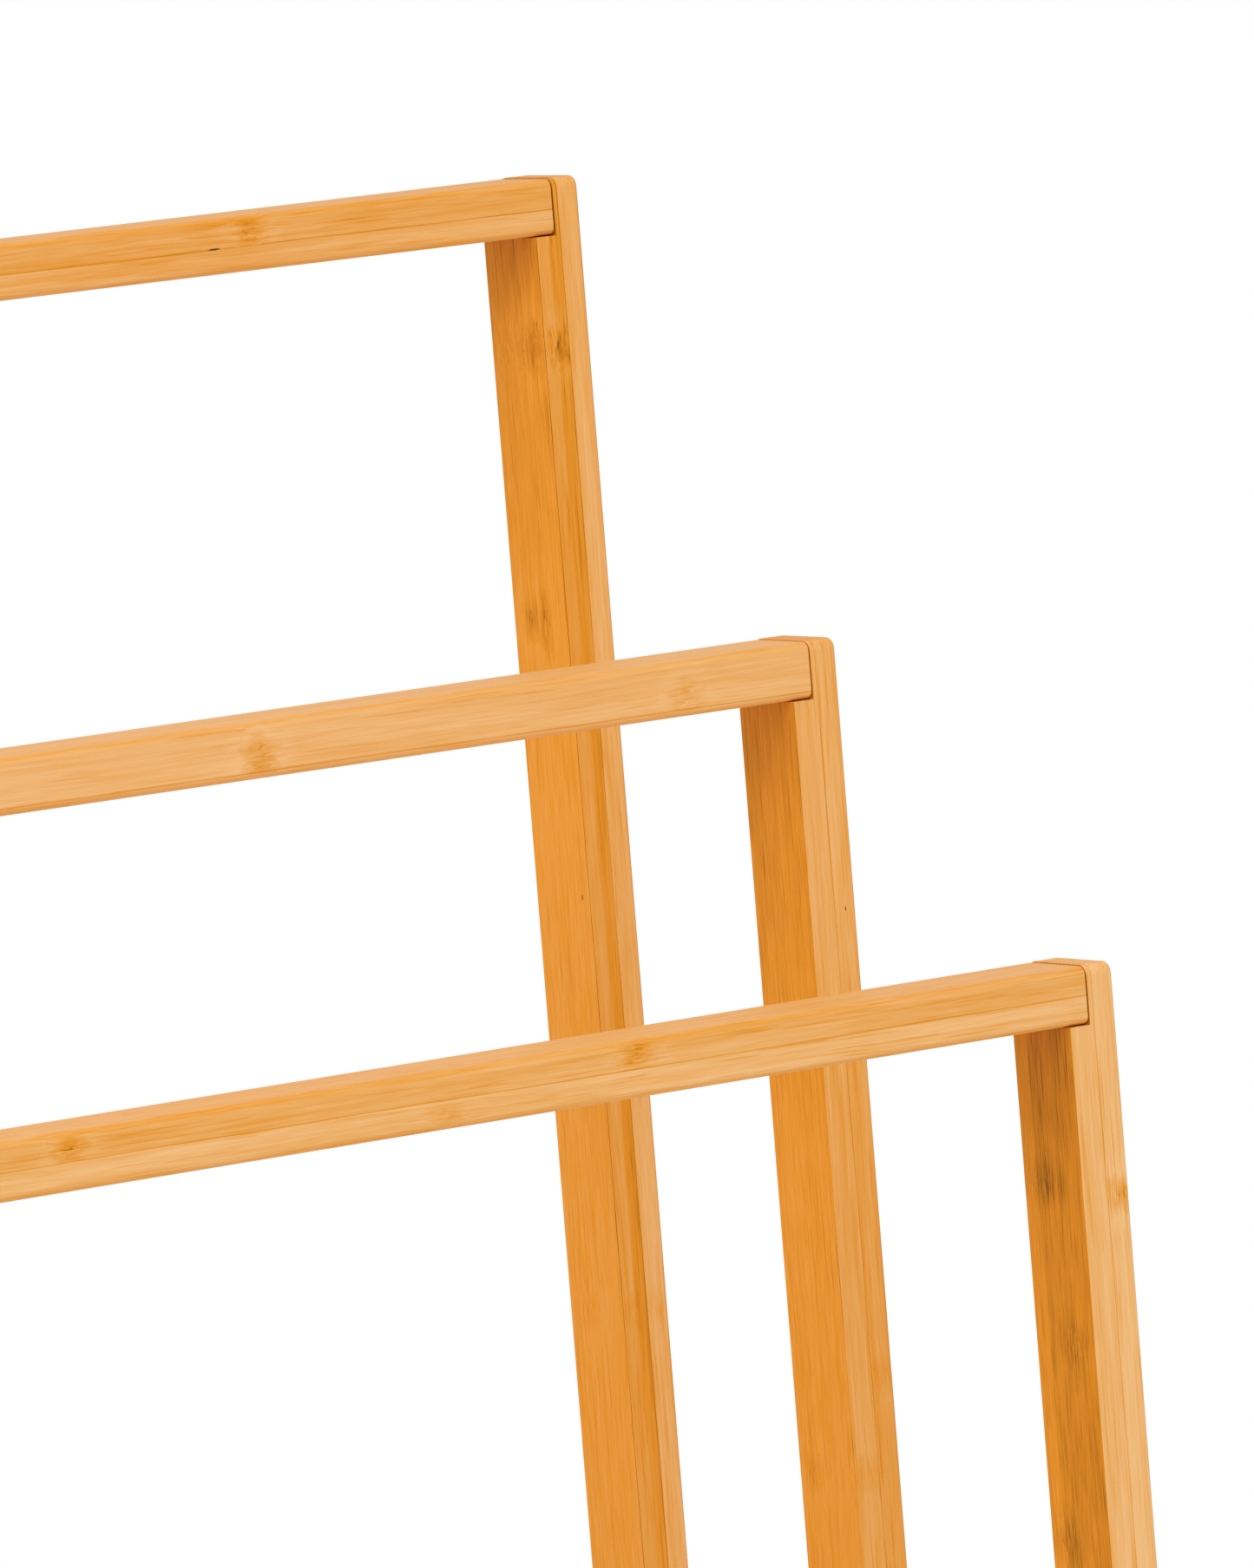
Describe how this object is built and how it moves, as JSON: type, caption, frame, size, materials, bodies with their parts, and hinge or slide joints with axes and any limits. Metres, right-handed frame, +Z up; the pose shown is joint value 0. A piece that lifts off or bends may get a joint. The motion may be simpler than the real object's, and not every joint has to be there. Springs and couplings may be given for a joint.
{
  "type": "towel rack",
  "caption": "Free-standing stepped towel rack of laminated bamboo: narrow square-cornered frames of rising height stand one behind the other on foot bars, each with a towel rail across its top.",
  "frame": {"origin": "on the floor, at the middle of the rack's width and of its depth", "axes": "+Z up; +Y towards the back, where the tallest frame stands; +X to the rack's right, seen from the front"},
  "size_m": [0.42, 0.25, 0.82],
  "materials": {
    "bamboo": "laminated carbonised bamboo, clear satin lacquer",
    "screw_steel": "bright zinc-plated steel",
    "dowel_beech": "plain unfinished beech",
    "pad_rubber": "matt black rubber"
  },
  "bodies": {
    "root": {"front_rail": "bamboo", "middle_rail": "bamboo", "back_rail": "bamboo", "front_left_upright": "bamboo", "front_right_upright": "bamboo", "middle_left_upright": "bamboo", "middle_right_upright": "bamboo", "back_left_upright": "bamboo", "back_right_upright": "bamboo", "left_foot_bar": "bamboo", "right_foot_bar": "bamboo", "front_stretcher": "bamboo", "rear_stretcher": "bamboo", "front_left_rail_screw": "screw_steel", "front_right_rail_screw": "screw_steel", "middle_left_rail_screw": "screw_steel", "middle_right_rail_screw": "screw_steel", "back_left_rail_screw": "screw_steel", "back_right_rail_screw": "screw_steel", "front_left_foot_screw": "screw_steel", "front_right_foot_screw": "screw_steel", "middle_left_foot_screw": "screw_steel", "middle_right_foot_screw": "screw_steel", "back_left_foot_screw": "screw_steel", "back_right_foot_screw": "screw_steel", "front_left_stretcher_screw": "screw_steel", "front_right_stretcher_screw": "screw_steel", "rear_left_stretcher_screw": "screw_steel", "rear_right_stretcher_screw": "screw_steel", "front_left_foot_dowel": "dowel_beech", "front_right_foot_dowel": "dowel_beech", "middle_left_foot_dowel": "dowel_beech", "middle_right_foot_dowel": "dowel_beech", "back_left_foot_dowel": "dowel_beech", "back_right_foot_dowel": "dowel_beech", "front_left_stretcher_dowel": "dowel_beech", "front_right_stretcher_dowel": "dowel_beech", "rear_left_stretcher_dowel": "dowel_beech", "rear_right_stretcher_dowel": "dowel_beech", "front_left_pad": "pad_rubber", "front_right_pad": "pad_rubber", "rear_left_pad": "pad_rubber", "rear_right_pad": "pad_rubber"}
  },
  "joints": []
}
